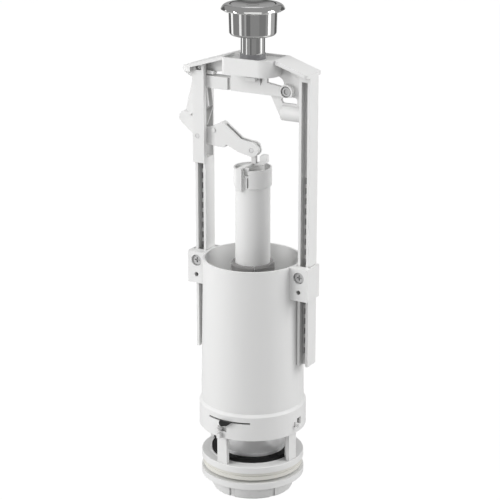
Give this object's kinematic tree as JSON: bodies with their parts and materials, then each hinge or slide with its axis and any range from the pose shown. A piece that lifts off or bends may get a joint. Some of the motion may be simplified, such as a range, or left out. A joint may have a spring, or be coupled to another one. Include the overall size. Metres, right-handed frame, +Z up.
{
  "type": "toilet flush valve",
  "caption": "Push-button toilet flush valve: a rocker, push link and bell crank on a sliding frame lift an overflow tube with its sealing bell off the outlet seat inside a tall housing tube.",
  "frame": {"origin": "middle of the outlet mouth, on the axis of the housing tube, at the bottom of the nut", "axes": "+Z up along the housing tube, +X from the leg with the crank to the leg with the rocker's pivot, -Y to the front, where the rail screws are"},
  "size_m": [0.1271, 0.0986, 0.4164],
  "materials": {
    "white_plastic": "satin moulded",
    "screw_plastic": "satin moulded",
    "pin_plastic": "satin moulded",
    "cream_rubber": "soft matte",
    "black_rubber": "soft matte",
    "black_plastic": "semi-gloss moulded",
    "smoked_plastic": "translucent gloss",
    "grey_plastic": "satin moulded",
    "chrome_plate": "mirror plated",
    "spring_steel": "drawn wire"
  },
  "bodies": {
    "base": {"base_cage": "white_plastic", "base_gasket": "cream_rubber", "outlet_nut": "white_plastic"},
    "housing": {"housing_tube": "white_plastic", "rail_screws": "screw_plastic"},
    "slider": {"flow_slider": "black_plastic"},
    "frame": {"yoke": "white_plastic", "left_rail": "white_plastic", "right_rail": "white_plastic", "crank_pin": "pin_plastic", "rocker_screw": "screw_plastic", "button_housing": "chrome_plate", "stem_nut": "grey_plastic", "button_spring": "spring_steel"},
    "button": {"push_button": "chrome_plate", "push_rod": "grey_plastic"},
    "rocker": {"rocker": "white_plastic"},
    "link": {"push_link": "white_plastic"},
    "crank": {"bell_crank": "white_plastic", "end_pin": "pin_plastic"},
    "riser": {"hanger": "white_plastic", "overflow_tube": "white_plastic", "tube_cap": "white_plastic"},
    "bell": {"valve_bell": "smoked_plastic", "main_seal": "black_rubber", "seal_retainer": "grey_plastic", "neck_collar": "smoked_plastic"}
  },
  "joints": [
    {"name": "bayonet_turn", "type": "hinge", "parent": "base", "child": "housing", "pos_m": [0, 0, 0.0658], "axis": [0, 0, 1], "range_deg": [-6, 0]},
    {"name": "flow_adjust", "type": "hinge", "parent": "housing", "child": "slider", "pos_m": [0, 0, 0.0734], "axis": [0, 0, 1], "range_deg": [-17, 27]},
    {"name": "height_adjust", "type": "slide", "parent": "housing", "child": "frame", "axis": [0, 0, 1], "range_m": [-0.02, 0.04]},
    {"name": "button_press", "type": "slide", "parent": "frame", "child": "button", "axis": [0, 0, -1], "range_m": [0, 0.0022], "stiffness_N_per_m": 600, "springref_m": -0.004, "deforming": ["button_spring"]},
    {"name": "rocker_turn", "type": "hinge", "parent": "frame", "child": "rocker", "pos_m": [0.0306, 0, 0.348], "axis": [0, -1, 0], "range_deg": [0, 4.3]},
    {"name": "link_push", "type": "slide", "parent": "frame", "child": "link", "axis": [0, 0, -1], "range_m": [0, 0.0062]},
    {"name": "crank_turn", "type": "hinge", "parent": "frame", "child": "crank", "pos_m": [-0.0499, 0, 0.3028], "axis": [0, -1, 0], "range_deg": [0, 20]},
    {"name": "riser_lift", "type": "slide", "parent": "frame", "child": "riser", "axis": [0, 0, 1], "range_m": [0, 0.01684]},
    {"name": "bell_lift", "type": "slide", "parent": "housing", "child": "bell", "axis": [0, 0, 1], "range_m": [0, 0.01684]}
  ],
  "couplings": [
    {"joint": "riser_lift", "follows": "bell_lift", "ratio": 1},
    {"joint": "crank_turn", "follows": "bell_lift", "rad_per_m": 20.728},
    {"joint": "link_push", "follows": "bell_lift", "ratio": 0.3681},
    {"joint": "rocker_turn", "follows": "bell_lift", "rad_per_m": 4.456},
    {"joint": "button_press", "follows": "bell_lift", "ratio": 0.1306}
  ]
}
